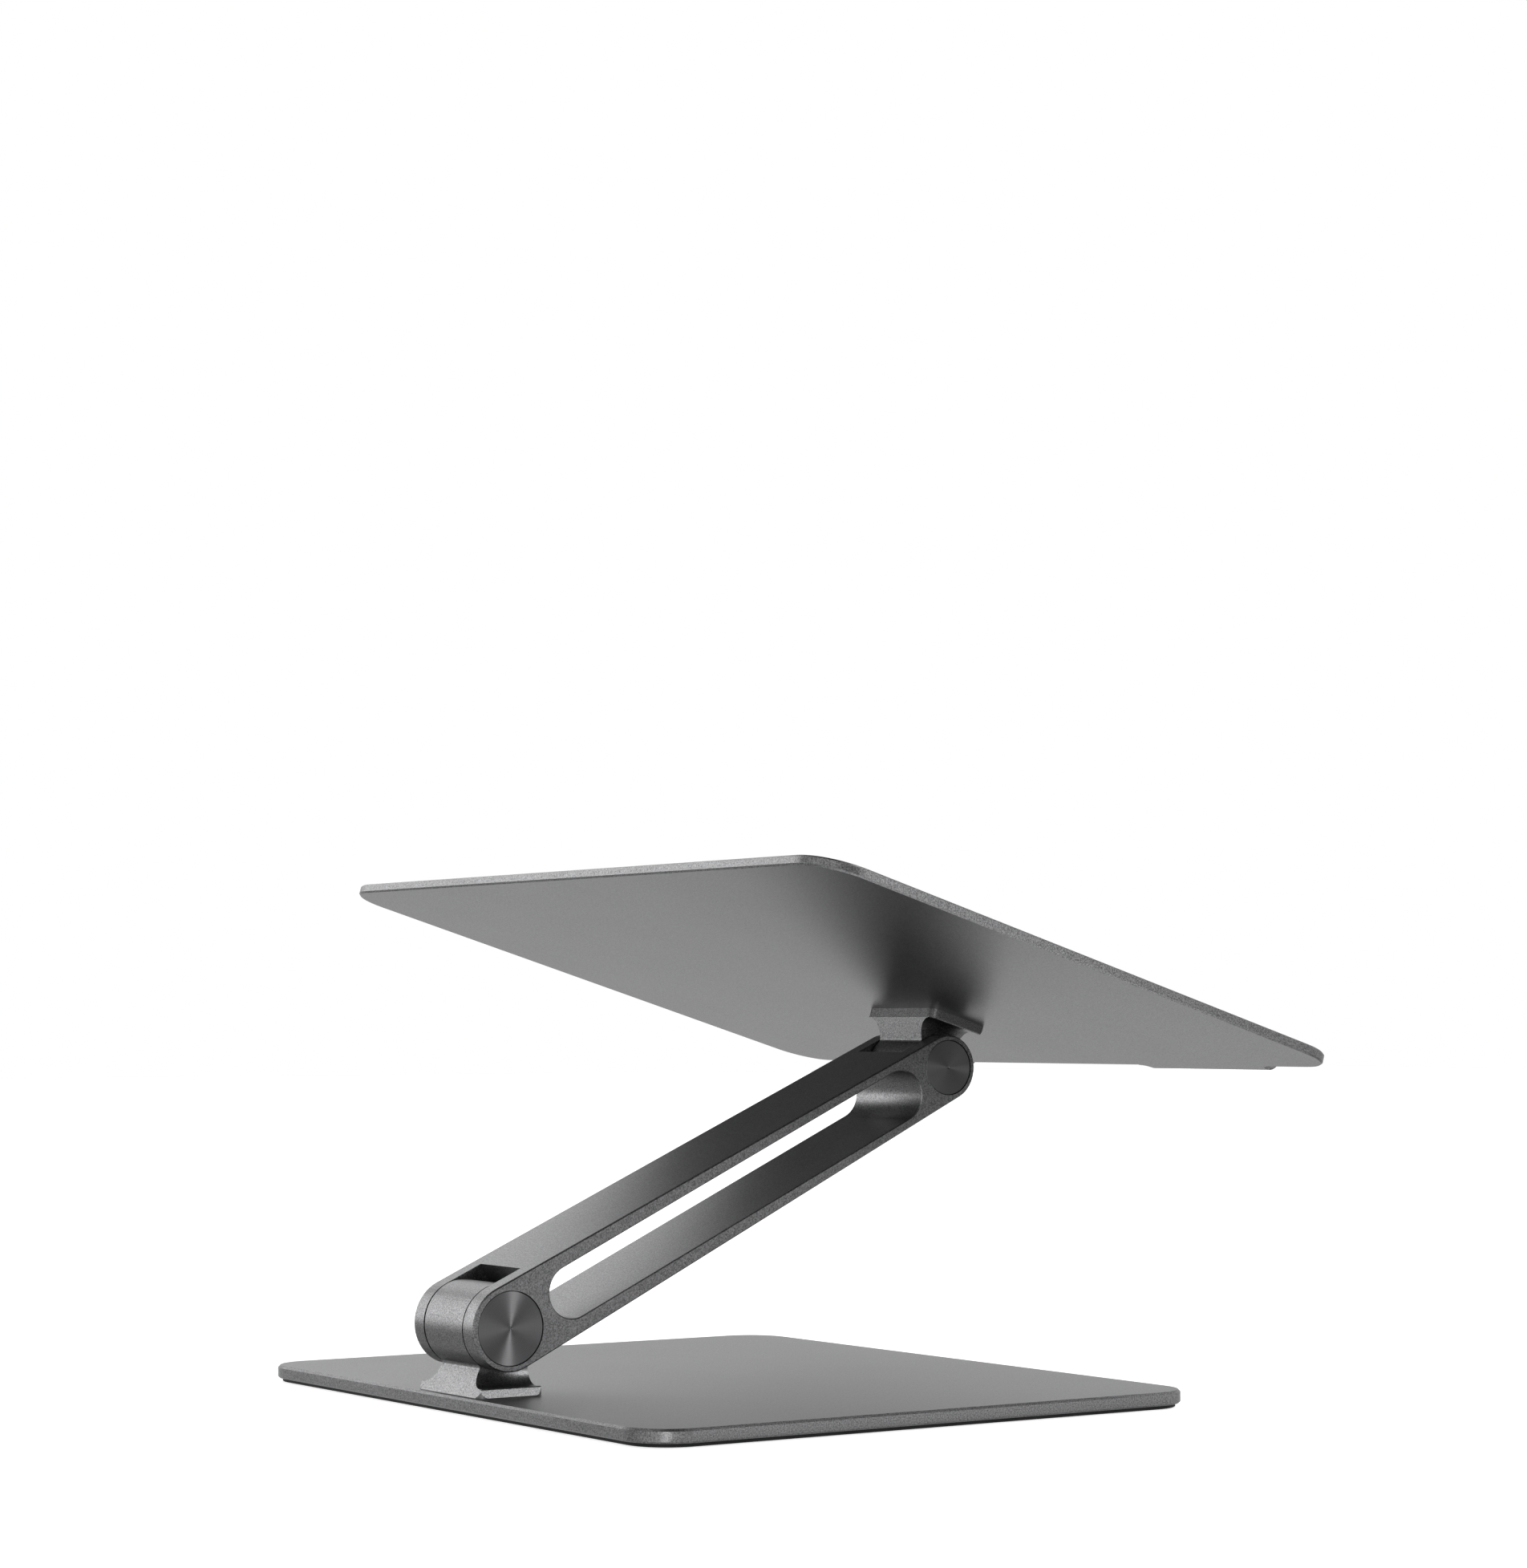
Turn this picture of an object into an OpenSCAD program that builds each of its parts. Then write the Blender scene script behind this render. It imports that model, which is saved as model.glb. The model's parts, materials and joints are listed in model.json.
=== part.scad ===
// Laptop stand: a base plate, a forked arm on a friction hinge, and a tray on a second one.
// Millimetres. +Z is up, -Y is the user's side, +X is the user's right.
// The origin is on the floor under the middle of the base plate.

/* [Base plate] */
// Width of the base plate, left to right
base_w = 232; // [180:1:300]
// Depth of the base plate, front to back
base_d = 193; // [150:1:260]
// Thickness of the base plate
base_t = 4; // [3:0.5:8]
// Radius of the base plate's corners in plan
base_corner_r = 14.5; // [6:0.5:30]
// Chamfer on the base plate's top edge
base_top_chamfer = 0.7; // [0.2:0.1:1.2]
// Chamfer on the base plate's bottom edge
base_bottom_chamfer = 0.5; // [0.1:0.1:0.8]
// Thickness of the mat under the base plate
mat_t = 1.1; // [0.8:0.1:3]
// How far the mat's edge is set in from the plate's edge
mat_inset = 1.5; // [0.5:0.1:8]

/* [Arm] */
// Distance between the two hinge axes
arm_len = 177; // [140:1:240]
// Slope of the arm above the level, in degrees, as it stands
arm_angle = 25; // [10:1:60]
// Width of the arm, left to right
arm_w = 35.6; // [32:0.2:50]
// Radius of the arm's lower end
low_end_r = 12.7; // [11.5:0.1:18]
// Radius of the arm's upper end
up_end_r = 10.3; // [9.6:0.1:16]
// Thickness of each fork cheek
cheek_t = 6; // [5:0.1:8]
// Chamfer along the arm's outer edges
arm_chamfer = 0.4; // [0.1:0.1:0.8]
// Height of the window through the arm
window_h = 15.8; // [6:0.1:16]
// Solid left between the lower axis and the window's end
window_low_gap = 15.3; // [15:0.1:40]
// Solid left between the upper axis and the window's end
window_up_gap = 12.7; // [12.5:0.1:40]
// Chamfer along the window's edges
window_chamfer = 0.3; // [0.1:0.1:0.6]
// Gap between a knuckle and the closed end of its fork
fork_end_gap = 0.45; // [0.3:0.05:2]

/* [Hinges] */
// Distance from the base plate's back edge to the lower axis
low_axis_setback = 13.9; // [13:0.1:60]
// Gap between the base bracket's foot and the arm's lower round end
low_gap = 4.4; // [3.8:0.1:13.5]
// Gap between the tray bracket's foot and the arm's upper round end
up_gap = 3.2; // [3:0.1:11]
// Gap between the left cheek and the knuckle, filled by a washer
left_side_gap = 0.5; // [0.4:0.05:1]
// Gap between the right cheek and the knuckle, filled by a washer
right_side_gap = 0.75; // [0.4:0.05:1]
// How far the left washers' edge lies inside the knuckle's
left_washer_inset = 1.6; // [1.5:0.1:3]
// How far the right washers' edge lies inside the knuckle's
right_washer_inset = 3; // [1.5:0.1:3]
// Running clearance on radius between an axle and its bush
axle_clearance = 0.03; // [0.01:0.01:0.1]
// Free play left beside a friction washer
washer_play = 0.05; // [0.02:0.01:0.1]
// Radius of the lower axle
low_axle_r = 4; // [3:0.1:4.6]
// Radius of the upper axle
up_axle_r = 3.5; // [2.5:0.1:4]
// Wall of the bushes
bush_wall = 1.2; // [0.8:0.1:1.4]
// Radius of the lower end caps
low_cap_r = 10.85; // [9:0.05:11]
// Radius of the upper end caps
up_cap_r = 8.6; // [8:0.05:8.8]
// Thickness of the end caps
cap_t = 1.2; // [0.8:0.1:1.6]
// How far a cap's face sits below the cheek's face
cap_sink = 0.2; // [0:0.05:0.4]
// Gap around a cap in its recess
cap_gap = 0.2; // [0.1:0.05:0.3]
// Height of an axle's head, and of the nut with its springs
head_t = 2.4; // [2:0.1:2.6]

/* [Brackets] */
// Width of the base bracket's foot at its bottom
low_foot_w = 37.6; // [34:0.2:60]
// Width of the tray bracket's foot
up_foot_w = 36; // [33:0.2:60]
// Depth of both feet, front to back
foot_d = 22; // [21:0.5:40]
// Height of the base bracket's foot
low_foot_h = 2.5; // [1.5:0.1:4]
// Height of the tray bracket's foot
up_foot_h = 3; // [1.5:0.1:4]
// How much narrower the base bracket's foot is at its top, each side
low_foot_taper = 1.1; // [0:0.1:2]
// How far the front of the base bracket's foot slants back towards its top
low_foot_slant = 0.5; // [0:0.1:2]
// How far the front of the tray bracket's foot slants back, away from the tray
up_foot_slant = 1.7; // [0:0.1:2.5]
// Chamfer around the edge of both feet, on the neck's side
foot_edge = 0.3; // [0.1:0.1:0.5]
// Corner radius of both feet in plan
foot_corner_r = 3; // [1:0.1:5]
// Lean of the base bracket's back face, in degrees
low_lean = 29; // [15:1:30]
// Lean of the tray bracket's back face, in degrees
up_lean = 23; // [12:1:26]
// Distance from the lower axis to the base bracket's front face
low_neck_front = 9.5; // [9:0.1:10.5]
// Distance from the upper axis to the tray bracket's front face
up_neck_front = 6; // [5:0.1:9.5]
// Radius of the hollow curve where a neck flares into its foot
flare_r = 5.1; // [2:0.1:5.4]
// Radius in the crease between a neck and its knuckle
crease_r = 1.5; // [0.5:0.1:3]
// Side to side distance between the bracket screws
screw_dx = 14; // [11:0.5:15]
// Front to back distance between the bracket screws
screw_dy = 9; // [8:0.5:9.5]
// How far the screws' middle is set forward of the axis
screw_forward = 1; // [0.5:0.1:1.2]
// Radius of the screws' threaded shanks
screw_r = 1.5; // [1.25:0.05:1.8]
// Radius of the screws' countersunk heads
screw_head_r = 2.9; // [2.4:0.1:3.4]
// How deep the screws go into a bracket
screw_bite = 6; // [4:0.5:7]

/* [Tray] */
// Width of the tray, left to right
tray_w = 278.6; // [220:0.2:340]
// Distance from the upper axis to the tray's back edge, along the tray
tray_back = 145.2; // [110:0.2:170]
// Distance from the upper axis to the tray's front edge, along the tray
tray_front = 52.8; // [30:0.2:54]
// Thickness of the tray
tray_t = 3; // [2.5:0.1:4]
// Tilt of the tray above the level, in degrees, as it stands
tray_tilt = 16.6; // [0:0.1:35]
// Radius of the tray's corners in plan
tray_corner_r = 14.5; // [6:0.5:30]
// Chamfer on the tray's edges
tray_chamfer = 0.5; // [0.2:0.1:0.9]
// Width of each front hook
hook_w = 54; // [30:0.5:80]
// Distance from the tray's middle to each hook's middle
hook_x = 76; // [50:0.5:90]
// How far a hook's outer face stands in front of the tray's edge
hook_reach = 7; // [6.5:0.1:9]
// Height of a hook above the tray's top
hook_h = 10; // [8:0.5:20]
// Inner bend radius of a hook
hook_bend_r = 1; // [0.5:0.1:2]
// Radius of the curve where a hook meets the tray's edge
hook_root_r = 3; // [1:0.1:3.5]
// Corner radius at a hook's top
hook_tip_r = 4; // [1:0.5:6]
// Thickness of the pads on the tray
pad_t = 0.8; // [0.5:0.1:1.2]
// Width of the two side pads
pad_w = 22; // [12:1:40]
// Length of the two side pads
pad_len = 160; // [80:1:175]
// Thickness of the pads on the hooks
hook_pad_t = 1.2; // [0.6:0.1:2]

/* [Hidden] */
$fn = 96;
far = 400;
base_z = mat_t;
base_top = base_z + base_t;
low_y = base_d / 2 - low_axis_setback;
low_axis_h = low_end_r + low_gap + low_foot_h;
up_axis_drop = up_end_r + up_gap + up_foot_h;
low_z = base_top + low_axis_h;
up_y = low_y - arm_len * cos(arm_angle);
up_z = low_z + arm_len * sin(arm_angle);
fork_half = arm_w / 2 - cheek_t;
knuckle_left = fork_half - left_side_gap;
knuckle_right = fork_half - right_side_gap;
taper_angle = asin((low_end_r - up_end_r) / arm_len);
window_r = window_h / 2;
recess_depth = cap_sink + cap_t + head_t;
seat_x = arm_w / 2 - recess_depth;
spring_t = 0.4;
spring_count = 2;
nut_t = head_t - spring_count * spring_t;
thread_hole = screw_r;
head_cone_h = screw_head_r - screw_r;
crease_overlap = 0.02;
tray_y_mid = (tray_back - tray_front) / 2;
tray_d = tray_back + tray_front;
hook_outer_r = hook_bend_r + tray_t;

// ---------- places ----------

// Arm frame: origin on the lower axis, the bar runs along -Y, +Z is its upper side.
module in_arm() translate([0, low_y, low_z]) rotate([-arm_angle, 0, 0]) children();

// Upper hinge frame, still square to the arm.
module at_arm_tip() in_arm() translate([0, -arm_len, 0]) children();

// Tray frame: origin on the upper axis, +Y runs up the tray to its back edge.
module in_tray() translate([0, up_y, up_z]) rotate([tray_tilt, 0, 0]) children();

// Lower hinge frame, square to the base.
module at_low_axis() translate([0, low_y, low_z]) children();

// Turns a drawing in the plane (y, z) into a slab that spans x from x0 to x1.
module slab_x(x0, x1)
  translate([x0, 0, 0]) rotate([90, 0, 90]) linear_extrude(x1 - x0) children();

// Turns a drawing in the plane (x, z) into a slab centred on y = 0.
module slab_y(depth)
  translate([0, depth / 2, 0]) rotate([90, 0, 0]) linear_extrude(depth) children();

// A cylinder along x from x0 to x1.
module rod_x(r, x0, x1) translate([x0, 0, 0]) rotate([0, 90, 0]) cylinder(r = r, h = x1 - x0);

// ---------- shared shapes ----------

// One corner post of a plate, chamfered at the top and the bottom.
module corner_post(r, t, top, bottom) {
  cylinder(r1 = r - bottom, r2 = r, h = bottom);
  translate([0, 0, bottom]) cylinder(r = r, h = t - top - bottom);
  translate([0, 0, t - top]) cylinder(r1 = r, r2 = r - top, h = top);
}

// A flat bar along x or y whose long edges are chamfered.
module edge_profile(half, t, top, bottom)
  polygon([
    [-half + bottom, 0], [half - bottom, 0], [half, bottom], [half, t - top],
    [half - top, t], [-half + top, t], [-half, t - top], [-half, bottom]
  ]);

// A plate with round corners and chamfered edges, its underside at z = 0.
module plate(w, d, t, r, top, bottom) {
  slab_x(-w / 2 + r, w / 2 - r) edge_profile(d / 2, t, top, bottom);
  slab_y(d - 2 * r) edge_profile(w / 2, t, top, bottom);
  for (sx = [-1, 1], sy = [-1, 1])
    translate([sx * (w / 2 - r), sy * (d / 2 - r), 0]) corner_post(r, t, top, bottom);
}

// A plain flat pad with round corners, its underside at z = 0.
module pad(w, d, t, r) {
  translate([-w / 2 + r, -d / 2, 0]) cube([w - 2 * r, d, t]);
  translate([-w / 2, -d / 2 + r, 0]) cube([w, d - 2 * r, t]);
  for (sx = [-1, 1], sy = [-1, 1])
    translate([sx * (w / 2 - r), sy * (d / 2 - r), 0]) cylinder(r = r, h = t);
}

// The hollow curve between a straight face and the knuckle's circle.
// w is the face's outward direction, u runs along it away from the knuckle, d is its distance.
// The curve cuts a hair into both, so that they cross instead of only touching.
module crease(r, w, u, d) {
  run = sqrt(pow(r + crease_r - crease_overlap, 2) - pow(d + crease_r - crease_overlap, 2));
  middle = (d + crease_r - crease_overlap) * w + run * u;
  difference() {
    polygon([[0, 0], (d - 1) * w + run * u, middle]);
    translate(middle) circle(crease_r);
  }
}

// Distance from the axis back to the block's back face, at height h above the foot's bottom.
function back_at(h, lean, lean_from) = foot_d / 2 - max(0, h - lean_from) * tan(lean);

// A knuckle block seen from the side: origin on the axis, foot's bottom at z = -axis_h.
module bracket_side(r, axis_h, foot_h, lean, lean_from, front) {
  back_top = back_at(axis_h, lean, lean_from);
  back_distance = back_top * cos(lean);
  edge_h = foot_h - foot_edge;
  circle(r);
  polygon([
    [-front, -axis_h + edge_h], [back_at(edge_h, lean, lean_from), -axis_h + edge_h],
    [back_at(foot_h, lean, lean_from), -axis_h + foot_h], [back_top, 0], [-front, 0]
  ]);
  crease(r, [cos(lean), sin(lean)], [sin(lean), -cos(lean)], back_distance);
  crease(r, [-1, 0], [0, -1], front);
}

// The same block seen from the front: the neck flares into the foot with a hollow curve.
module bracket_front(r, axis_h, foot_h) {
  foot_top = -axis_h + foot_h;
  neck_bottom = foot_top - foot_edge;
  flare_left = -knuckle_left - flare_r;
  flare_right = knuckle_right + flare_r;
  translate([-knuckle_left, neck_bottom]) square([knuckle_left + knuckle_right, r - neck_bottom]);
  difference() {
    translate([flare_left, neck_bottom]) square([flare_right - flare_left, foot_edge + flare_r]);
    for (x = [flare_left, flare_right]) translate([x, foot_top + flare_r]) circle(flare_r);
  }
}

// A foot's section along its width or depth: each end slants in towards the top, where it
// has a small chamfer.
module foot_section(start, end, start_slant, end_slant, foot_h) polygon([
  [start, 0], [end, 0],
  [end - end_slant, foot_h - foot_edge], [end - end_slant - foot_edge, foot_h],
  [start + start_slant + foot_edge, foot_h], [start + start_slant, foot_h - foot_edge]
]);

// A knuckle block: neck and knuckle above a foot with rounded corners.
module bracket_solid(r, axis_h, foot_w, foot_h, taper, slant, lean, lean_from, front) {
  back = foot_d / 2;
  back_slant = back - back_at(foot_h - foot_edge, lean, lean_from);
  intersection() {
    slab_x(-foot_w, foot_w) bracket_side(r, axis_h, foot_h, lean, lean_from, front);
    slab_y(4 * foot_d) bracket_front(r, axis_h, foot_h);
  }
  translate([0, 0, -axis_h]) intersection() {
    slab_x(-foot_w, foot_w) foot_section(-back, back, slant, back_slant, foot_h);
    slab_y(4 * foot_d) foot_section(-foot_w / 2, foot_w / 2, taper, taper, foot_h);
    pad(foot_w, foot_d, foot_h, foot_corner_r);
  }
}

// Puts its children at the four screws of a bracket, in that bracket's axis frame.
module at_bracket_screws()
  for (sx = [-1, 1], sy = [-1, 1])
    translate([sx * screw_dx / 2, sy * screw_dy / 2 - screw_forward, 0]) children();

// A countersunk screw with its head's flat face at z = 0, pointing up.
module countersunk_screw(len) {
  difference() {
    union() {
      cylinder(r1 = screw_head_r, r2 = screw_r, h = head_cone_h);
      cylinder(r = screw_r, h = len);
    }
    translate([0, 0, -1]) cylinder(r = screw_r * 0.66, h = 2.1, $fn = 6);
  }
}

// The hole in a plate that a countersunk screw passes through, head side at z = 0.
module screw_way(t) {
  clearance = 0.15;
  translate([0, 0, -0.01]) cylinder(r1 = screw_head_r + clearance + 0.01, r2 = screw_r + clearance,
                                    h = head_cone_h + 0.01);
  translate([0, 0, -0.01]) cylinder(r = screw_r + clearance, h = t + 0.02);
}

// ---------- base group ----------

module base_plate() color("dimgray") difference() {
  translate([0, 0, base_z]) plate(base_w, base_d, base_t, base_corner_r, base_top_chamfer, base_bottom_chamfer);
  translate([0, low_y, base_z]) at_bracket_screws() screw_way(base_t);
}

module base_mat() color("black")
  pad(base_w - 2 * mat_inset, base_d - 2 * mat_inset, mat_t, base_corner_r - mat_inset);

module base_bracket() color("gray") difference() {
  at_low_axis() bracket_solid(low_end_r, low_axis_h, low_foot_w, low_foot_h, low_foot_taper,
                              low_foot_slant, low_lean, 0, low_neck_front);
  at_low_axis() rod_x(low_axle_r + axle_clearance + bush_wall, -far, far);
  translate([0, low_y, base_top - 0.01]) at_bracket_screws() cylinder(r = thread_hole, h = screw_bite + 0.5);
}

module base_screws() color("silver")
  translate([0, low_y, base_z]) at_bracket_screws() countersunk_screw(base_t + screw_bite);

module bush(axle_r) difference() {
  rod_x(axle_r + axle_clearance + bush_wall, -knuckle_left, knuckle_right);
  rod_x(axle_r + axle_clearance, -knuckle_left - 1, knuckle_right + 1);
}

module low_bush() color("peru") at_low_axis() bush(low_axle_r);

// ---------- arm group ----------

// The bar's side view: two circles joined by their common tangents.
module bar_side() {
  a = [-low_end_r * sin(taper_angle), low_end_r * cos(taper_angle)];
  b = [-arm_len - up_end_r * sin(taper_angle), up_end_r * cos(taper_angle)];
  circle(low_end_r);
  translate([-arm_len, 0]) circle(up_end_r);
  polygon([a, b, [b[0], -b[1]], [a[0], -a[1]]]);
}

// One long side of the chamfered layer: its upper face slants at 45 degrees, and it reaches far down.
module edge_side() rotate([taper_angle, 0, 0]) rotate([90, 0, 0])
  linear_extrude(arm_len * cos(taper_angle)) polygon([
    [0, -2 * low_end_r], [arm_chamfer, -2 * low_end_r], [arm_chamfer, low_end_r - arm_chamfer],
    [0, low_end_r]
  ]);

// The chamfered outer layer of the bar, from its full outline in to the cheek's face.
module bar_edge_layer() {
  rotate([90, 0, 90]) cylinder(r1 = low_end_r, r2 = low_end_r - arm_chamfer, h = arm_chamfer);
  translate([0, -arm_len, 0]) rotate([90, 0, 90])
    cylinder(r1 = up_end_r, r2 = up_end_r - arm_chamfer, h = arm_chamfer);
  intersection() {
    edge_side();
    mirror([0, 0, 1]) edge_side();
  }
}

// The window's cutter, flared at both faces of the bar.
module window_cutter() {
  y0 = -window_low_gap - window_r;
  y1 = -arm_len + window_up_gap + window_r;
  slab_x(-far, far) {
    translate([y0, 0]) circle(window_r);
    translate([y1, 0]) circle(window_r);
    translate([y1, -window_r]) square([y0 - y1, window_h]);
  }
  for (s = [-1, 1]) mirror([s < 0 ? 1 : 0, 0, 0]) translate([arm_w / 2 - window_chamfer, 0, 0]) {
    for (y = [y0, y1]) translate([0, y, 0]) rotate([90, 0, 90])
      cylinder(r1 = window_r, r2 = window_r + 2 * window_chamfer, h = 2 * window_chamfer);
    translate([0, y0, 0]) rotate([90, 0, 0]) linear_extrude(y0 - y1) polygon([
      [0, -window_r], [2 * window_chamfer, -window_r - 2 * window_chamfer],
      [2 * window_chamfer, window_r + 2 * window_chamfer], [0, window_r]
    ]);
  }
}

// The slot of one fork, from its closed end outwards past the bar's tip.
module fork_slot(r, toward)
  translate([-fork_half, toward > 0 ? -r - fork_end_gap : -r - 20, -r - 10])
    cube([2 * fork_half, 2 * r + 20 + fork_end_gap, 2 * r + 20]);

// Cap recess, head recess and axle hole through both cheeks of one fork.
module hinge_bores(axle_r, cap_r) {
  rod_x(axle_r + 0.02, -far, far);
  for (s = [-1, 1]) mirror([s < 0 ? 1 : 0, 0, 0]) {
    rod_x(cap_r + cap_gap, arm_w / 2 - cap_sink - cap_t, far);
    rod_x(head_radius(axle_r) + 0.2, seat_x, far);
  }
}

function head_radius(axle_r) = axle_r * 1.7;

module arm() color("dimgray") in_arm() difference() {
  union() {
    slab_x(-arm_w / 2 + arm_chamfer, arm_w / 2 - arm_chamfer) bar_side();
    for (s = [-1, 1]) mirror([s < 0 ? 1 : 0, 0, 0])
      translate([arm_w / 2 - arm_chamfer, 0, 0]) bar_edge_layer();
  }
  window_cutter();
  fork_slot(low_end_r, 1);
  translate([0, -arm_len, 0]) fork_slot(up_end_r, -1);
  hinge_bores(low_axle_r, low_cap_r);
  translate([0, -arm_len, 0]) hinge_bores(up_axle_r, up_cap_r);
}

// A headed pin: head in the -X cheek, threaded end in the +X cheek.
module axle(axle_r) difference() {
  union() {
    rod_x(axle_r, -seat_x, seat_x + head_t);
    rod_x(head_radius(axle_r), -seat_x - head_t, -seat_x);
  }
  translate([-seat_x - head_t - 1, 0, 0]) rotate([0, 90, 0]) cylinder(r = axle_r * 0.6, h = 2.6, $fn = 6);
}

module friction_washers(axle_r, end_r) difference() {
  union() {
    rod_x(end_r - left_washer_inset, -fork_half, -knuckle_left - washer_play);
    rod_x(end_r - right_washer_inset, knuckle_right + washer_play, fork_half);
  }
  rod_x(axle_r + 0.1, -far, far);
}

// Two dished springs, back to back, drawn as thin rings with a rounded rim.
module disc_springs(axle_r) for (i = [0 : spring_count - 1])
  translate([seat_x + i * spring_t, 0, 0]) difference() {
    rod_x(head_radius(axle_r) - 0.3 * (i + 1), 0, spring_t);
    rod_x(axle_r + 0.1, -1, 2);
  }

module lock_nut(axle_r) translate([seat_x + spring_count * spring_t, 0, 0]) difference() {
  rotate([0, 90, 0]) cylinder(r = head_radius(axle_r) - 0.1, h = nut_t, $fn = 6);
  rod_x(axle_r, -1, nut_t + 1);
}

// A thin disc with a chamfered rim, its face just inside the cheek's face.
module cap(cap_r, side) mirror([side < 0 ? 1 : 0, 0, 0])
  translate([arm_w / 2 - cap_sink - cap_t, 0, 0]) {
    rod_x(cap_r, 0, cap_t - 0.3);
    translate([cap_t - 0.3, 0, 0]) rotate([0, 90, 0]) cylinder(r1 = cap_r, r2 = cap_r - 0.3, h = 0.3);
  }

module low_axle() color("silver") in_arm() axle(low_axle_r);
module low_washers() color("khaki") in_arm() friction_washers(low_axle_r, low_end_r);
module low_springs() color("lightgray") in_arm() disc_springs(low_axle_r);
module low_nut() color("silver") in_arm() lock_nut(low_axle_r);
module low_cap_left() color("gray") in_arm() cap(low_cap_r, -1);
module low_cap_right() color("gray") in_arm() cap(low_cap_r, 1);
module up_axle() color("silver") at_arm_tip() axle(up_axle_r);
module up_washers() color("khaki") at_arm_tip() friction_washers(up_axle_r, up_end_r);
module up_springs() color("lightgray") at_arm_tip() disc_springs(up_axle_r);
module up_nut() color("silver") at_arm_tip() lock_nut(up_axle_r);
module up_cap_left() color("gray") at_arm_tip() cap(up_cap_r, -1);
module up_cap_right() color("gray") at_arm_tip() cap(up_cap_r, 1);

// ---------- tray group ----------

// The tray bracket is the same kind of block, standing on the tray's underside.
module in_tray_flipped() in_tray() mirror([0, 0, 1]) children();

module tray_bracket() color("gray") difference() {
  in_tray_flipped() bracket_solid(up_end_r, up_axis_drop, up_foot_w, up_foot_h, 0,
                                  up_foot_slant, up_lean, up_foot_h, up_neck_front);
  in_tray() rod_x(up_axle_r + axle_clearance + bush_wall, -far, far);
  in_tray_flipped() translate([0, 0, -up_axis_drop - 0.01]) at_bracket_screws()
    cylinder(r = thread_hole, h = screw_bite + 0.5);
}

module up_bush() color("peru") in_tray() bush(up_axle_r);

module tray_screws() color("silver")
  in_tray_flipped() translate([0, 0, -up_axis_drop - tray_t]) at_bracket_screws()
    countersunk_screw(tray_t + screw_bite);

// A hook seen from the side: it leaves the tray's front edge and bends up.
module hook_side() {
  bend_y = -tray_front - hook_reach + hook_outer_r;
  difference() {
    translate([bend_y, hook_outer_r]) circle(hook_outer_r);
    translate([bend_y, hook_outer_r]) circle(hook_bend_r);
    translate([bend_y, -1]) square([far, far]);
    translate([bend_y - hook_outer_r - 1, hook_outer_r]) square([far, far]);
  }
  translate([bend_y, 0]) square([-tray_front + tray_corner_r - bend_y, tray_t]);
  translate([bend_y - hook_outer_r, hook_outer_r]) square([tray_t, tray_t + hook_h - hook_outer_r]);
}

// A hook seen from above: straight sides that widen in a hollow curve at the tray's edge.
module hook_plan() {
  translate([-hook_w / 2, -tray_front - hook_reach - 1]) square([hook_w, hook_reach + tray_corner_r + 1]);
  difference() {
    translate([-hook_w / 2 - hook_root_r, -tray_front - hook_root_r])
      square([hook_w + 2 * hook_root_r, hook_root_r + tray_corner_r]);
    for (s = [-1, 1]) translate([s * (hook_w / 2 + hook_root_r), -tray_front - hook_root_r]) circle(hook_root_r);
  }
}

// A hook seen from the front: the top corners are rounded.
module hook_face() {
  top = tray_t + hook_h;
  translate([-hook_w, -1]) square([2 * hook_w, top - hook_tip_r + 1]);
  translate([-hook_w / 2 + hook_tip_r, 0]) square([hook_w - 2 * hook_tip_r, top]);
  for (s = [-1, 1]) translate([s * (hook_w / 2 - hook_tip_r), top - hook_tip_r]) circle(hook_tip_r);
}

module hook() intersection() {
  slab_x(-hook_w, hook_w) hook_side();
  translate([0, 0, -1]) linear_extrude(tray_t + hook_h + 2) hook_plan();
  slab_y(far) hook_face();
}

module tray_plate() color("dimgray") in_tray() translate([0, 0, up_axis_drop]) difference() {
  union() {
    translate([0, tray_y_mid, 0]) plate(tray_w, tray_d, tray_t, tray_corner_r, tray_chamfer, tray_chamfer);
    for (s = [-1, 1]) translate([s * hook_x, 0, 0]) hook();
  }
  mirror([0, 0, 1]) translate([0, 0, -tray_t]) at_bracket_screws() screw_way(tray_t);
}

module on_tray(x, y) in_tray() translate([x, y, up_axis_drop + tray_t]) children();

module tray_pad_left() color("black") on_tray(-hook_x, tray_y_mid) pad(pad_w, pad_len, pad_t, 5);
module tray_pad_right() color("black") on_tray(hook_x, tray_y_mid) pad(pad_w, pad_len, pad_t, 5);
module tray_pad_middle() color("black") on_tray(0, 0) pad(44, 30, pad_t, 5);

// A pad on a hook's inner face, and its tip's rounded corners.
module hook_pad() color("black") {
  inner_y = -tray_front - hook_reach + tray_t;
  low = hook_outer_r + 0.2;
  intersection() {
    translate([-hook_w / 2 + 1, inner_y, low]) cube([hook_w - 2, hook_pad_t, tray_t + hook_h - 0.6 - low]);
    slab_y(far) hook_face();
  }
}

module hook_pad_left() in_tray() translate([-hook_x, 0, up_axis_drop]) hook_pad();
module hook_pad_right() in_tray() translate([hook_x, 0, up_axis_drop]) hook_pad();

base_plate();
base_mat();
base_bracket();
base_screws();
low_bush();
arm();
low_axle();
low_washers();
low_springs();
low_nut();
low_cap_left();
low_cap_right();
up_axle();
up_washers();
up_springs();
up_nut();
up_cap_left();
up_cap_right();
tray_bracket();
up_bush();
tray_screws();
tray_plate();
tray_pad_left();
tray_pad_right();
tray_pad_middle();
hook_pad_left();
hook_pad_right();
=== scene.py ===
"""Laptop stand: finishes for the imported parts, softened pads, spun hinge caps, and a soft studio."""

import json
import math

import bmesh
import bpy
from mathutils import Matrix, Vector


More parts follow.
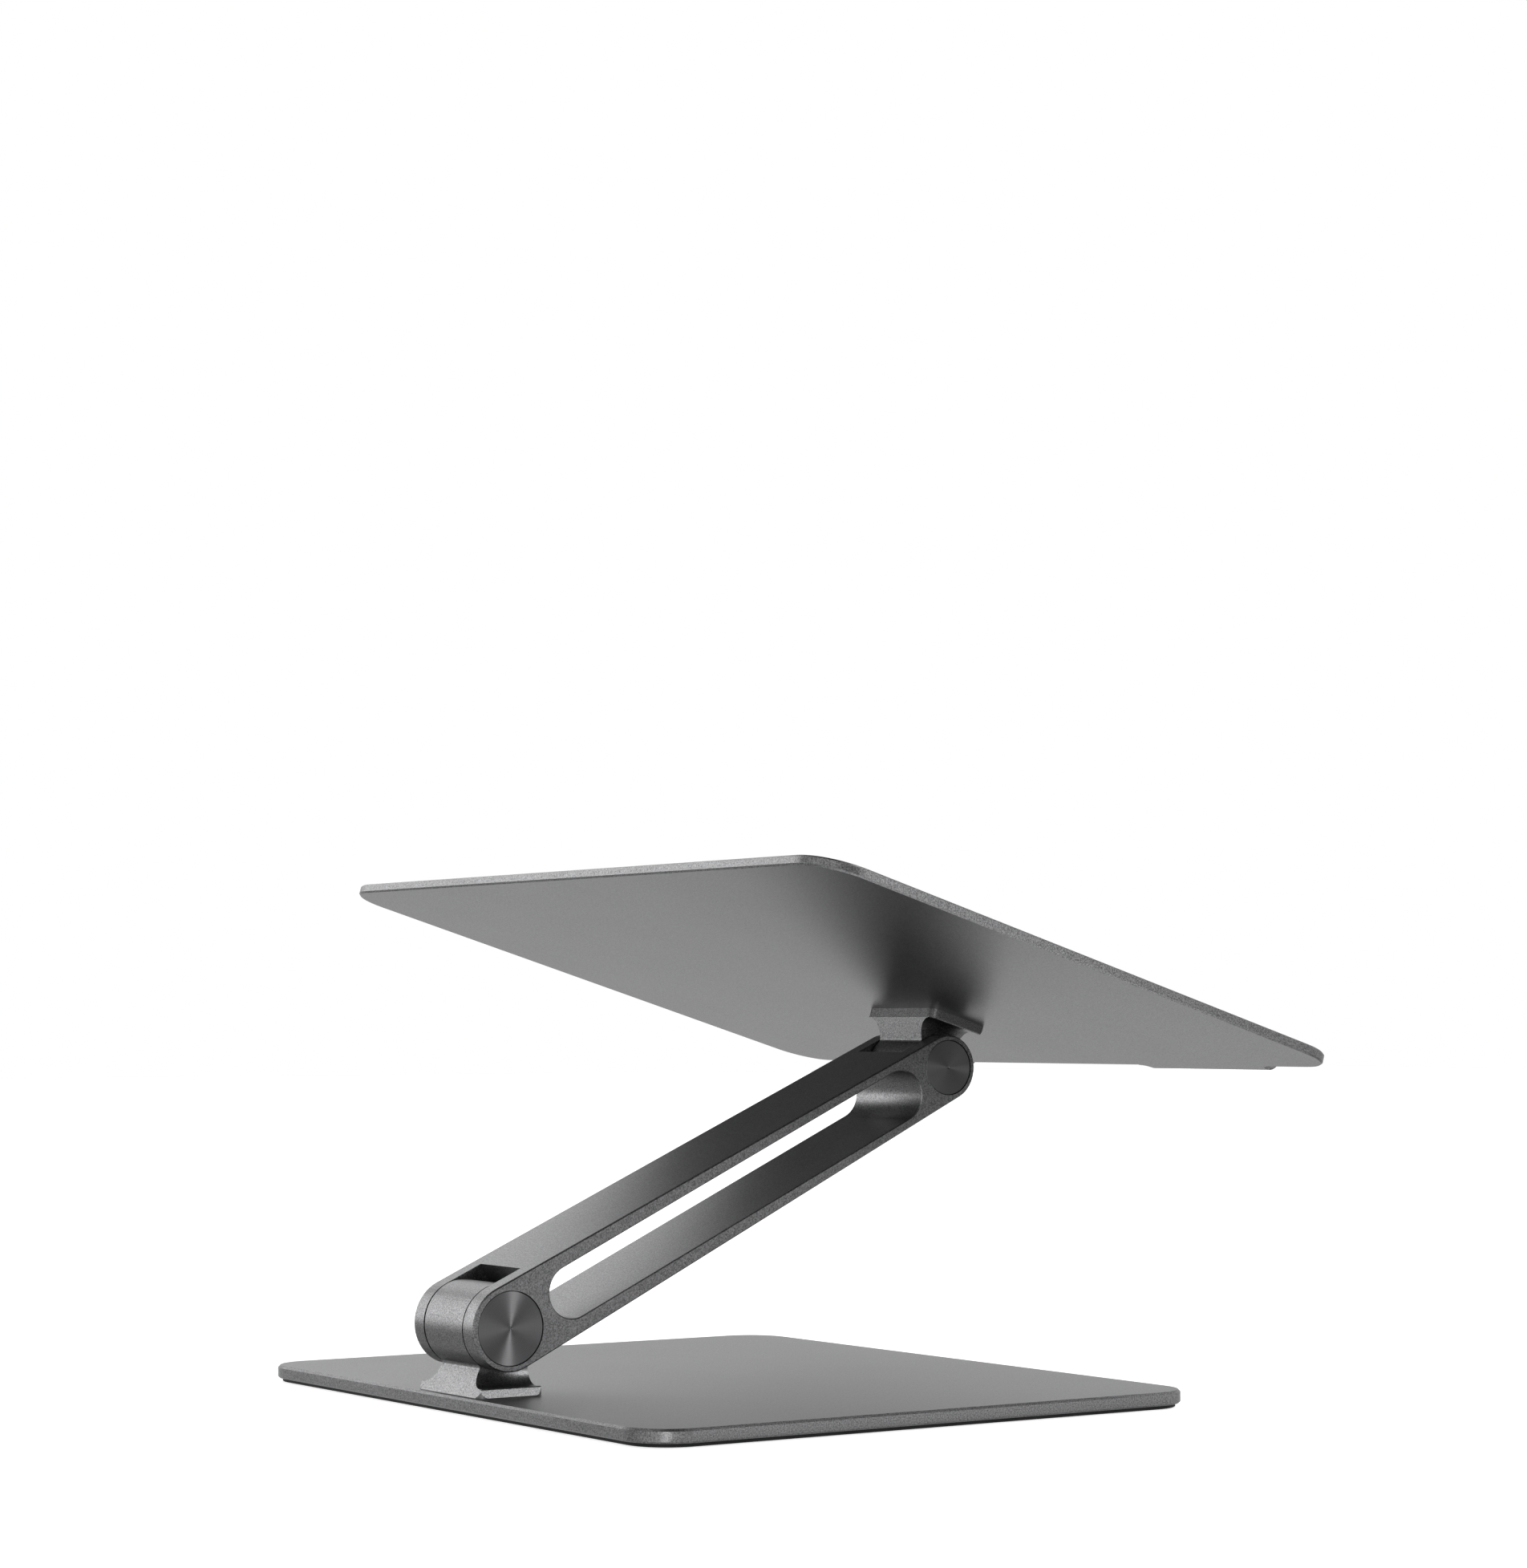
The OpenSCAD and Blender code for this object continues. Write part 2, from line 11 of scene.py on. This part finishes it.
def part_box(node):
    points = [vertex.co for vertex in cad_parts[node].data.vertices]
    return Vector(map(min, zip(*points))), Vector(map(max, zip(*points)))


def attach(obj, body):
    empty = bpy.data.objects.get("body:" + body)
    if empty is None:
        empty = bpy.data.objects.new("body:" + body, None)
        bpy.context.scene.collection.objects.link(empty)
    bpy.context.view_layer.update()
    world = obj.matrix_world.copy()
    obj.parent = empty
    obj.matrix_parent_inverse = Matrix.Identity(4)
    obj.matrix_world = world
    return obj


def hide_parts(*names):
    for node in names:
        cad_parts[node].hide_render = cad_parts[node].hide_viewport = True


MM = 0.001
TURNING = "turning"  # UV map of a spun face: u is the radius in metres, v the angle in turns

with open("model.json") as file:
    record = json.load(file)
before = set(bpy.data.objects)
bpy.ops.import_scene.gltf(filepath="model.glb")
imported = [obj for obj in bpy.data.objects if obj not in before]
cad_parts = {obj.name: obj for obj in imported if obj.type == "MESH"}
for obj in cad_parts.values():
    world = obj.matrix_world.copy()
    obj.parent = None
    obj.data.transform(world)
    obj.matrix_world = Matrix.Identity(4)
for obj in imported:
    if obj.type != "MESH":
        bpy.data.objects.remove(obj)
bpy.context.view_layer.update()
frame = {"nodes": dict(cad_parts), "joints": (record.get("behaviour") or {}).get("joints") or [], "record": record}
nodes = frame["nodes"]
joints = {joint["name"]: joint for joint in frame["joints"]}


# ---------- shared helpers ----------


def linear(hex_colour):
    """An sRGB hex colour as linear RGBA."""
    parts = [int(hex_colour[i : i + 2], 16) / 255 for i in (1, 3, 5)]
    return [p / 12.92 if p <= 0.04045 else ((p + 0.055) / 1.055) ** 2.4 for p in parts] + [1.0]


def add_node(tree, kind, settings=None, links=None):
    """A shader node with its settings and its incoming links. A setting names a property or an input."""
    node = tree.nodes.new(kind)
    for name, value in (settings or {}).items():
        if isinstance(name, int) or name in node.inputs:
            node.inputs[name].default_value = value
        else:
            setattr(node, name, value)
    for name, source in (links or {}).items():
        tree.links.new(source, node.inputs[name])
    return node


def new_material(name):
    """An empty material, its node tree, its shader and the object coordinates."""
    material = bpy.data.materials.new(name)
    material.use_nodes = True
    tree = material.node_tree
    tree.nodes.clear()
    shader = add_node(tree, "ShaderNodeBsdfPrincipled")
    add_node(tree, "ShaderNodeOutputMaterial", links={"Surface": shader.outputs[0]})
    place = add_node(tree, "ShaderNodeTexCoord").outputs["Object"]
    return material, tree, shader, place


def ramp(tree, factor, stops):
    """A colour ramp through (position, hex colour) stops."""
    node = add_node(tree, "ShaderNodeValToRGB", links={"Fac": factor})
    elements = node.color_ramp.elements
    while len(elements) < len(stops):
        elements.new(0.5)
    for element, (position, colour) in zip(elements, stops):
        element.position = position
        element.color = linear(colour)
    return node.outputs["Color"]


def drop_from_selection():
    if bpy.context.object and bpy.context.object.mode != "OBJECT":
        bpy.ops.object.mode_set(mode="OBJECT")
    bpy.ops.object.select_all(action="DESELECT")


drop_from_selection()


# ---------- materials ----------


def blasted_anodised_aluminium(name, dark, light, roughness):
    """Aluminium, bead blasted, then anodised: a satin metal with an even grain and hardly any cloudiness."""
    bead_mark = 0.4 * MM  # a real one is about 0.1 mm across, drawn coarser so that it shows
    cloud_width = 38 * MM
    bead_share, cloud_share = 0.92, 0.08
    material, tree, shader, place = new_material(name)
    shader.inputs["Metallic"].default_value = 1.0
    shader.inputs["Specular Tint"].default_value = linear("#e0e0e0")
    bead = add_node(tree, "ShaderNodeTexNoise", {"Scale": 1 / bead_mark, "Detail": 2.0, "Roughness": 0.6},
                    {"Vector": place}).outputs["Fac"]
    cloud = add_node(tree, "ShaderNodeTexNoise", {"Scale": 1 / cloud_width, "Detail": 2.0},
                     {"Vector": place}).outputs["Fac"]
    grain = add_node(tree, "ShaderNodeMath", {"operation": "MULTIPLY", 1: bead_share}, {0: bead}).outputs[0]
    tone = add_node(tree, "ShaderNodeMath", {"operation": "MULTIPLY_ADD", 1: cloud_share},
                    {0: cloud, 2: grain}).outputs[0]
    tree.links.new(ramp(tree, tone, [(0.3, dark), (0.7, light)]), shader.inputs["Base Color"])
    gloss = add_node(tree, "ShaderNodeMapRange",
                     {"From Min": 0.3, "From Max": 0.7,
                      "To Min": roughness - 0.03, "To Max": roughness + 0.04},
                     {"Value": tone})
    tree.links.new(gloss.outputs["Result"], shader.inputs["Roughness"])
    bump = add_node(tree, "ShaderNodeBump", {"Strength": 0.1, "Distance": 0.02 * MM}, {"Height": bead})
    tree.links.new(bump.outputs[0], shader.inputs["Normal"])
    return material


def spun_anodised_aluminium():
    """Aluminium faced on a lathe, then anodised: fine rings that throw fans of light from the middle."""
    ring_pitch = 0.12 * MM
    material, tree, shader, _ = new_material("spun anodised aluminium")
    shader.inputs["Metallic"].default_value = 1.0
    shader.inputs["Specular Tint"].default_value = linear("#e0e0e0")
    shader.inputs["Roughness"].default_value = 0.33
    shader.inputs["Anisotropic"].default_value = 0.95
    turning = add_node(tree, "ShaderNodeUVMap", {"uv_map": TURNING}).outputs["UV"]
    across = add_node(tree, "ShaderNodeVectorMath", {"operation": "MULTIPLY", 1: (1 / ring_pitch, 0.0, 0.0)},
                      {0: turning}).outputs[0]
    rings = add_node(tree, "ShaderNodeTexNoise", {"Scale": 1.0, "Detail": 3.0},
                     {"Vector": across}).outputs["Fac"]
    tree.links.new(ramp(tree, rings, [(0.3, "#636364"), (0.7, "#7b7b7c")]), shader.inputs["Base Color"])
    bump = add_node(tree, "ShaderNodeBump", {"Strength": 0.1, "Distance": 0.01 * MM}, {"Height": rings})
    tree.links.new(bump.outputs[0], shader.inputs["Normal"])
    tangent = add_node(tree, "ShaderNodeTangent", {"direction_type": "UV_MAP", "uv_map": TURNING})
    tree.links.new(tangent.outputs[0], shader.inputs["Tangent"])
    return material


def moulded_silicone(name):
    """Compression-moulded silicone: matt black with a faint dusty bloom."""
    bloom_width = 2.5 * MM
    mould_grit = 0.5 * MM  # finer on a real mould, drawn coarser so that it shows
    material, tree, shader, place = new_material(name)
    shader.inputs["IOR"].default_value = 1.43
    bloom = add_node(tree, "ShaderNodeTexNoise", {"Scale": 1 / bloom_width, "Detail": 5.0},
                     {"Vector": place}).outputs["Fac"]
    tree.links.new(ramp(tree, bloom, [(0.35, "#0d0d0e"), (0.7, "#1a1a1b")]), shader.inputs["Base Color"])
    gloss = add_node(tree, "ShaderNodeMapRange", {"To Min": 0.62, "To Max": 0.82}, {"Value": bloom})
    tree.links.new(gloss.outputs["Result"], shader.inputs["Roughness"])
    grit = add_node(tree, "ShaderNodeTexNoise", {"Scale": 1 / mould_grit, "Detail": 2.0},
                    {"Vector": place}).outputs["Fac"]
    bump = add_node(tree, "ShaderNodeBump", {"Strength": 0.2, "Distance": 0.05 * MM}, {"Height": grit})
    tree.links.new(bump.outputs[0], shader.inputs["Normal"])
    return material


def turned_metal(name, dark, light, roughness):
    """Lathe-turned bar stock: fine lines around the hinge axes, which both run along X."""
    line_pitch = 0.3 * MM  # finer on a real lathe, drawn coarser so that it shows
    line_length = 25 * MM
    material, tree, shader, place = new_material(name)
    shader.inputs["Metallic"].default_value = 1.0
    lines = add_node(tree, "ShaderNodeMapping", {"Scale": (1 / line_pitch, 1 / line_length, 1 / line_length)},
                     {"Vector": place}).outputs[0]
    streak = add_node(tree, "ShaderNodeTexNoise", {"Scale": 1.0, "Detail": 3.0},
                      {"Vector": lines}).outputs["Fac"]
    tree.links.new(ramp(tree, streak, [(0.3, dark), (0.7, light)]), shader.inputs["Base Color"])
    gloss = add_node(tree, "ShaderNodeMapRange", {"To Min": roughness - 0.06, "To Max": roughness + 0.08},
                     {"Value": streak})
    tree.links.new(gloss.outputs["Result"], shader.inputs["Roughness"])
    return material


aluminium = blasted_anodised_aluminium("blasted anodised aluminium", "#535354", "#9f9fa0", 0.37)
spun = spun_anodised_aluminium()
silicone = moulded_silicone("moulded silicone")
steel = turned_metal("zinc plated turned steel", "#8d9092", "#b4b7b9", 0.32)
bronze = turned_metal("turned bearing bronze", "#6e4f2b", "#94703f", 0.36)

FINISH = {
    "anodised_aluminium": aluminium,
    "spun_aluminium": spun,
    "silicone": silicone,
    "steel": steel,
    "bronze": bronze,
}
slot_of = {part["node"]: part["material_slot"] for part in frame["record"]["subparts"]}
for name, part in nodes.items():
    part.data.materials.clear()
    part.data.materials.append(FINISH[slot_of[name]])


# ---------- modelling helpers ----------

SAME_HEIGHT = 1e-6  # metres
TOUCHING = 1e-7  # metres


def start_editing(mode):
    bpy.ops.object.mode_set(mode="EDIT")
    bpy.ops.mesh.select_mode(type=mode)


def select_faces(wanted):
    """Selects the faces of the piece being edited that wanted(face) is true for."""
    piece = bpy.context.object
    bpy.ops.mesh.select_mode(type="FACE")
    bpy.ops.mesh.select_all(action="DESELECT")
    mesh = bmesh.from_edit_mesh(piece.data)
    for face in mesh.faces:
        face.select_set(wanted(face))
    bmesh.update_edit_mesh(piece.data)


def select_edges(wanted):
    """Selects the edges of the piece being edited that wanted(edge) is true for."""
    piece = bpy.context.object
    bpy.ops.mesh.select_mode(type="EDGE")
    bpy.ops.mesh.select_all(action="DESELECT")
    mesh = bmesh.from_edit_mesh(piece.data)
    for edge in mesh.edges:
        edge.select_set(wanted(edge))
    bmesh.update_edit_mesh(piece.data)


def is_level_at(face, height):
    """True for a face that looks straight up at that height."""
    return face.normal.z > 0.99 and abs(face.calc_center_median().z - height) < SAME_HEIGHT


def reach(face, along):
    """A face's lowest and highest place along an axis."""
    places = [vertex.co[along] for vertex in face.verts]
    return min(places), max(places)


def rounded_slab(name, low, high, corner, soften):
    """A slab between two corners, its upright edges rounded to corner and its rims softened."""
    size = high - low
    middle = (low + high) / 2
    bpy.ops.mesh.primitive_plane_add(size=1, location=(middle.x, middle.y, low.z))
    slab = bpy.context.object
    slab.name = slab.data.name = name
    slab.scale = (size.x, size.y, 1)
    bpy.ops.object.transform_apply(location=True, rotation=True, scale=True)
    start_editing("VERT")
    bpy.ops.mesh.select_all(action="SELECT")
    bpy.ops.mesh.bevel(offset=corner, offset_type="OFFSET", segments=10, affect="VERTICES")
    bpy.ops.mesh.select_all(action="SELECT")
    bpy.ops.mesh.extrude_region_move(TRANSFORM_OT_translate={"value": (0, 0, size.z)})
    bpy.ops.mesh.select_all(action="SELECT")
    bpy.ops.mesh.normals_make_consistent(inside=False)
    select_edges(lambda edge: abs(edge.verts[0].co.z - edge.verts[1].co.z) < TOUCHING)
    bpy.ops.mesh.bevel(offset=soften, offset_type="OFFSET", segments=3, affect="EDGES")
    return slab


def groove_face(height, border, width, depth, along):
    """Cuts a flat face at that height into even strips inside a border, and sinks every second one."""
    select_faces(lambda face: is_level_at(face, height))
    bpy.ops.mesh.inset(thickness=border, depth=0)
    mesh = bmesh.from_edit_mesh(bpy.context.object.data)
    reaches = [reach(face, along) for face in mesh.faces if face.select]
    first = min(start for start, end in reaches)
    last = max(end for start, end in reaches)
    count = 2 * int((last - first) / (2 * width)) + 1
    step = (last - first) / count
    cut_way = Vector((0, 0, 0))
    cut_way[along] = 1

    def is_cut_at(face, cut):
        start, end = reach(face, along)
        crosses = start < cut - TOUCHING and end > cut + TOUCHING
        return is_level_at(face, height) and len(face.verts) > 3 and crosses and face.calc_area() > border**2

    def is_odd_strip(face):
        start, end = reach(face, along)
        middle = face.calc_center_median()[along]
        one_wide = first < middle < last and end - start < 1.1 * step
        return is_level_at(face, height) and one_wide and int((middle - first) / step) % 2 == 1

    for number in range(1, count):
        cut = first + number * step
        select_faces(lambda face: is_cut_at(face, cut))
        bpy.ops.mesh.bisect(plane_co=cut_way * cut, plane_no=cut_way)
    select_faces(is_odd_strip)
    bpy.ops.mesh.inset(thickness=depth / 2, depth=0)
    bpy.ops.transform.translate(value=(0, 0, -depth))


def finish_piece(piece, smooth=30):
    """Leaves edit mode and puts the piece's place in its mesh."""
    if bpy.context.object.mode != "OBJECT":
        bpy.ops.object.mode_set(mode="OBJECT")
    bpy.ops.object.select_all(action="DESELECT")
    piece.select_set(True)
    bpy.context.view_layer.objects.active = piece
    bpy.ops.object.transform_apply(location=True, rotation=True, scale=True)
    bpy.ops.object.shade_smooth_by_angle(angle=math.radians(smooth))


def stand_for(piece, node, body, material):
    """Gives the piece its finish, its body and the node it stands for."""
    piece.data.materials.clear()
    piece.data.materials.append(material)
    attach(piece, body)
    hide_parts(node)
    drop_from_selection()


# ---------- hinge caps ----------


def spun_cap(name, radius, thick):
    """A disc facing +X with its back at x = 0: chamfered rim, face dished by a hair, lathe centre mark."""
    rim = 0.12 * MM
    dish = 0.08 * MM
    mark_radius = 0.5 * MM
    mark_depth = 0.12 * MM
    centre = 0.01 * MM  # a corner nearer the middle than this has no angle of its own
    profile = [  # radius, x
        (radius, rim),
        (radius, thick - rim),
        (radius - rim, thick),
        (radius - 3 * rim, thick),
        (radius * 0.66, thick - dish * 0.375),
        (radius * 0.33, thick - dish * 0.75),
        (mark_radius, thick - dish),
        (mark_radius * 0.6, thick - dish - mark_depth),
    ]
    bpy.ops.mesh.primitive_circle_add(vertices=128, radius=radius - rim, rotation=(0, math.pi / 2, 0))
    cap = bpy.context.object
    cap.name = cap.data.name = name
    bpy.ops.object.transform_apply(location=True, rotation=True, scale=True)
    start_editing("EDGE")
    bpy.ops.mesh.select_all(action="SELECT")
    now_radius, now_x = radius - rim, 0.0
    for next_radius, next_x in profile:
        factor = next_radius / now_radius
        bpy.ops.mesh.extrude_edges_move(TRANSFORM_OT_translate={"value": (next_x - now_x, 0, 0)})
        bpy.ops.transform.resize(value=(1, factor, factor), center_override=(next_x, 0, 0))
        now_radius, now_x = next_radius, next_x
    bpy.ops.mesh.edge_face_add()
    bpy.ops.mesh.poke()
    select_edges(lambda edge: edge.is_boundary)
    bpy.ops.mesh.edge_face_add()
    bpy.ops.mesh.select_all(action="SELECT")
    bpy.ops.mesh.normals_make_consistent(inside=False)
    bpy.ops.object.mode_set(mode="OBJECT")
    # each face's angles are counted from its own middle, so that none runs the long way round
    turning = cap.data.uv_layers.new(name=TURNING)
    for face in cap.data.polygons:
        middle = face.center
        facing = math.atan2(middle.z, middle.y)
        for loop in face.loop_indices:
            place = cap.data.vertices[cap.data.loops[loop].vertex_index].co
            out = math.hypot(place.y, place.z)
            angle = math.atan2(place.z, place.y) if out > centre else facing
            turn = (angle - facing + math.pi) % (2 * math.pi) - math.pi + facing
            turning.data[loop].uv = (out, turn / (2 * math.pi))
    return cap


for axis_name in ("low", "up"):
    low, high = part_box(axis_name + "_cap_right")
    master = spun_cap(axis_name + "_cap_right_spun", (high.y - low.y) / 2, high.x - low.x)
    copy = master.copy()
    copy.data = master.data.copy()
    copy.name = copy.data.name = axis_name + "_cap_left_spun"
    bpy.context.collection.objects.link(copy)
    for side, cap in (("right", master), ("left", copy)):
        node = f"{axis_name}_cap_{side}"
        low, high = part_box(node)
        middle = (low + high) / 2
        faces_left = middle.x < 0
        cap.rotation_euler = (0, 0, math.pi if faces_left else 0)
        cap.location = (high.x if faces_left else low.x, middle.y, middle.z)
        finish_piece(cap, 20)
        stand_for(cap, node, "arm", spun)


# ---------- silicone mat and pads ----------

MAT_CORNER = 13 * MM
MAT_RIM = 0.3 * MM
TRAY_PAD_CORNER = 5 * MM
HOOK_PAD_CORNER = 0.6 * MM
PAD_RIM = 0.2 * MM
GROOVE_DEPTH = 0.25 * MM

low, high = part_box("base_mat")
drop_from_selection()
mat = rounded_slab("base_mat_moulded", low, high, MAT_CORNER, MAT_RIM)
finish_piece(mat)
stand_for(mat, "base_mat", "base", silicone)

tray_mount = next(mount for mount in frame["record"]["mounts"] if mount["name"] == "tray_face")
bed_axis = Vector(tray_mount["axis"])
tilt = math.atan2(-bed_axis.y, bed_axis.z)
up_axis = Vector(joints["tray_hinge"]["pos_m"])


def box_on_tray(node):
    """Lowest and highest corner of a node in the tray's own axes, measured from the upper hinge line."""
    level = Matrix.Rotation(-tilt, 3, "X")
    corners = [level @ (vertex.co - up_axis) for vertex in nodes[node].data.vertices]
    return (Vector(min(c[i] for c in corners) for i in range(3)),
            Vector(max(c[i] for c in corners) for i in range(3)))


def lay_on_tray(piece):
    bpy.ops.object.mode_set(mode="OBJECT")
    piece.rotation_euler = (tilt, 0, 0)
    piece.location = up_axis
    finish_piece(piece)


for node in ("tray_pad_left", "tray_pad_right", "tray_pad_middle"):
    low, high = box_on_tray(node)
    pad = rounded_slab(node + "_moulded", low, high, TRAY_PAD_CORNER, PAD_RIM)
    groove_face(high.z, border=2.2 * MM, width=1.4 * MM, depth=GROOVE_DEPTH, along=0)
    lay_on_tray(pad)
    stand_for(pad, node, "tray", silicone)

for node in ("hook_pad_left", "hook_pad_right"):
    low, high = box_on_tray(node)
    size = high - low
    # modelled lying on its back, then stood up against the hook
    flat_low = Vector((low.x, 0, 0))
    flat_high = Vector((high.x, size.z, size.y))
    pad = rounded_slab(node + "_moulded", flat_low, flat_high, HOOK_PAD_CORNER, PAD_RIM)
    groove_face(size.y, border=1.0 * MM, width=0.8 * MM, depth=GROOVE_DEPTH, along=1)
    bpy.ops.object.mode_set(mode="OBJECT")
    pad.rotation_euler = (math.radians(90), 0, 0)
    pad.location = (0, high.y, low.z)
    finish_piece(pad)
    lay_on_tray(pad)
    stand_for(pad, node, "tray", silicone)


# ---------- light, floor and camera ----------


def studio_floor():
    """Pale paper, faintly mottled, that glows a little more away from the stand."""
    mottle_scale = 60.0  # one mottle is about 17 mm across
    glow_starts, glow_full = 0.5, 1.6  # metres from the origin
    bpy.ops.mesh.primitive_plane_add(size=12, location=(0, 0, -0.2 * MM))
    floor = bpy.context.object
    floor.name = "floor"
    material, tree, shader, place = new_material("pale paper floor")
    shader.inputs["Roughness"].default_value = 0.9
    mottle = add_node(tree, "ShaderNodeTexNoise", {"Scale": mottle_scale, "Detail": 4.0},
                      {"Vector": place}).outputs["Fac"]
    tree.links.new(ramp(tree, mottle, [(0.3, "#dcdcdc"), (0.7, "#e2e2e2")]), shader.inputs["Base Color"])
    shader.inputs["Emission Color"].default_value = linear("#ffffff")
    away = add_node(tree, "ShaderNodeVectorMath", {"operation": "LENGTH"}, {0: place}).outputs["Value"]
    glow = add_node(tree, "ShaderNodeMapRange",
                    {"From Min": glow_starts, "From Max": glow_full, "To Min": 0.72, "To Max": 1.0},
                    {"Value": away})
    tree.links.new(glow.outputs["Result"], shader.inputs["Emission Strength"])
    floor.data.materials.append(material)
    floor.visible_glossy = False


def softbox(name, position, target, size, watts):
    """A rectangular area light at a position, turned to face a target."""
    light = bpy.data.lights.new(name, "AREA")
    light.shape = "RECTANGLE"
    light.size, light.size_y = size
    light.energy = watts
    lamp = bpy.data.objects.new(name, light)
    lamp.location = position
    lamp.rotation_euler = (Vector(target) - Vector(position)).to_track_quat("-Z", "Y").to_euler()
    lamp.visible_camera = False
    bpy.context.collection.objects.link(lamp)


BACKDROP_MIDDLE = 0.97  # cosine of the angle inside which a backdrop is at full strength

# White backdrops: direction, cosine of the angle where the glow begins, strength at the middle
BACKDROPS = [
    ((0.87, -0.48, 0.08), 0.5, 0.8),
    ((-0.25, 0.93, 0.27), 0.75, 0.55),
    ((-0.1, -0.95, 0.3), 0.75, 0.5),
    ((0.1, 0.55, 0.83), 0.85, 0.6),
]

# The walls from straight down (0) past the horizon (0.5) to straight up (1)
WALLS = [
    (0.0, "#c4c4c4"),
    (0.27, "#b8b8b8"),
    (0.45, "#a4a4a4"),
    (0.5, "#bababa"),
    (0.56, "#a8a8a8"),
    (0.65, "#888888"),
    (0.8, "#808080"),
    (0.9, "#4c4c4c"),
    (1.0, "#343434"),
]


def white_surround():
    """White where it is seen, and lit by the backdrops and by the walls more than from overhead."""
    world = bpy.data.worlds.new("white surround")
    bpy.context.scene.world = world
    world.use_nodes = True
    tree = world.node_tree
    tree.nodes.clear()
    way = add_node(tree, "ShaderNodeTexCoord").outputs["Generated"]
    height = add_node(tree, "ShaderNodeSeparateXYZ", links={"Vector": way}).outputs["Z"]
    rise = add_node(tree, "ShaderNodeMapRange", {"From Min": -1.0, "From Max": 1.0},
                    {"Value": height}).outputs["Result"]
    total = ramp(tree, rise, WALLS)
    for direction, edge, strength in BACKDROPS:
        facing = add_node(tree, "ShaderNodeVectorMath", {"operation": "DOT_PRODUCT", 1: direction}, {0: way})
        glow = add_node(tree, "ShaderNodeMapRange",
                        {"interpolation_type": "SMOOTHSTEP", "From Min": edge, "From Max": BACKDROP_MIDDLE,
                         "To Min": 0.0, "To Max": strength},
                        {"Value": facing.outputs["Value"]}).outputs["Result"]
        total = add_node(tree, "ShaderNodeMath", {"operation": "ADD"}, {0: total, 1: glow}).outputs[0]
    seen = add_node(tree, "ShaderNodeLightPath").outputs["Is Camera Ray"]
    shown = add_node(tree, "ShaderNodeMix", {"data_type": "FLOAT", "B": 1.0}, {"Factor": seen, "A": total})
    sky = add_node(tree, "ShaderNodeBackground", {"Color": linear("#ffffff")},
                   {"Strength": shown.outputs["Result"]})
    add_node(tree, "ShaderNodeOutputWorld", links={"Surface": sky.outputs[0]})


def camera():
    """Low down, to the left and behind, with a long lens."""
    data = bpy.data.cameras.new("camera")
    data.lens = 81.34
    data.clip_end = 20
    view = bpy.data.objects.new("camera", data)
    view.location = Vector((-920.2, 607.5, 113.3)) * MM
    aim = Vector((0.82490, -0.56122, 0.06763))
    view.rotation_euler = aim.to_track_quat("-Z", "Y").to_euler()
    bpy.context.collection.objects.link(view)
    bpy.context.scene.camera = view


# Soft lights: name, position, target, width and height in metres, watts
SOFTBOXES = [
    ("softbox, right and behind", (1.05, 0.66, 0.48), (0, 0, 0.48), (1.0, 0.95), 6.4),
    ("softbox, right and in front", (1.07, -0.2, 0.7), (0, 0, 0.05), (0.6, 0.4), 1.2),
    ("strip, behind", (-1.05, 0.76, 0.0), (0, 0, 0.0), (0.24, 1.0), 2.9),
    ("strip, left", (-0.83, -0.53, 0.65), (0, 0, 0.05), (0.14, 0.8), 4.6),
    ("softbox, above and in front", (-0.1, -0.75, 1.15), (0, 0, 0.0), (0.5, 0.3), 1.2),
    ("white card, left", (-0.2, 0.0, -0.1 * MM), (-0.2, 0.0, 1.0), (0.15, 0.3), 0.09),
]

studio_floor()
white_surround()
for settings in SOFTBOXES:
    softbox(*settings)
camera()
bpy.context.scene.view_settings.view_transform = "Standard"
